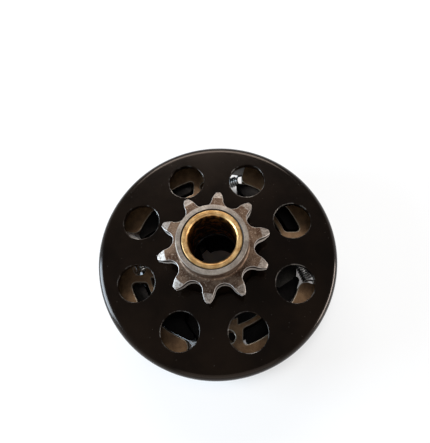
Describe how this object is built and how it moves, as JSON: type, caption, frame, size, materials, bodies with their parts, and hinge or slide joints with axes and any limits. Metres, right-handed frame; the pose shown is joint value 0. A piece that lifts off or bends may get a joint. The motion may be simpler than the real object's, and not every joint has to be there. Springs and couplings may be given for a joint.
{
  "type": "centrifugal clutch",
  "caption": "Centrifugal clutch: black vented drum with a small chain sprocket and bronze bushing, over spring-held shoes on a keyed driver.",
  "frame": {"origin": "on the axis of the shaft, at the back face of the driver's collar, on which the clutch stands", "axes": "+Z along the shaft's axis, from the driver's collar towards the sprocket's nose; the heel of shoe_1 lies near +X"},
  "size_m": [0.1036, 0.1036, 0.051],
  "materials": {
    "drum_paint": "semi-gloss black paint on pressed steel",
    "sprocket_steel": "hardened steel with a brown oxide, brighter on the turned faces",
    "bushing_bronze": "oily sintered bronze",
    "washer_steel": "plain steel",
    "driver_steel": "black oxide on sintered steel",
    "plate_steel": "plain stamped steel",
    "ring_steel": "phosphated spring steel",
    "screw_steel": "black oxide",
    "shoe_metal": "tan sintered metal with fine pores",
    "pin_steel": "drawn steel",
    "spring_wire": "bright zinc plated wire"
  },
  "bodies": {
    "driver": {"driver": "driver_steel", "back_plate": "plate_steel", "snap_ring": "ring_steel", "set_screws": "screw_steel", "thrust_washer": "washer_steel"},
    "drum": {"drum": "drum_paint", "sprocket": "sprocket_steel", "bushing": "bushing_bronze"},
    "shoe_1": {"shoe_1": "shoe_metal", "heel_pin_1": "pin_steel", "tip_pin_1": "pin_steel", "spring_1": "spring_wire"},
    "shoe_2": {"shoe_2": "shoe_metal", "heel_pin_2": "pin_steel", "tip_pin_2": "pin_steel", "spring_2": "spring_wire"},
    "shoe_3": {"shoe_3": "shoe_metal", "heel_pin_3": "pin_steel", "tip_pin_3": "pin_steel", "spring_3": "spring_wire"},
    "shoe_4": {"shoe_4": "shoe_metal", "heel_pin_4": "pin_steel", "tip_pin_4": "pin_steel", "spring_4": "spring_wire"}
  },
  "joints": [
    {"name": "drum_spin", "type": "hinge", "parent": "driver", "child": "drum", "pos_m": [0, 0, 0.039], "axis": [0, 0, 1], "continuous": true},
    {"name": "shoe_1_slide", "type": "slide", "parent": "driver", "child": "shoe_1", "axis": [0.766, 0.6428, 0], "range_m": [0, 0.001], "stiffness_N_per_m": 1500, "springref_m": -0.002, "deforming": ["spring_1"]},
    {"name": "shoe_2_slide", "type": "slide", "parent": "driver", "child": "shoe_2", "axis": [-0.6428, 0.766, 0], "range_m": [0, 0.001], "stiffness_N_per_m": 1500, "springref_m": -0.002, "deforming": ["spring_2"]},
    {"name": "shoe_3_slide", "type": "slide", "parent": "driver", "child": "shoe_3", "axis": [-0.766, -0.6428, 0], "range_m": [0, 0.001], "stiffness_N_per_m": 1500, "springref_m": -0.002, "deforming": ["spring_3"]},
    {"name": "shoe_4_slide", "type": "slide", "parent": "driver", "child": "shoe_4", "axis": [0.6428, -0.766, 0], "range_m": [0, 0.001], "stiffness_N_per_m": 1500, "springref_m": -0.002, "deforming": ["spring_4"]}
  ]
}
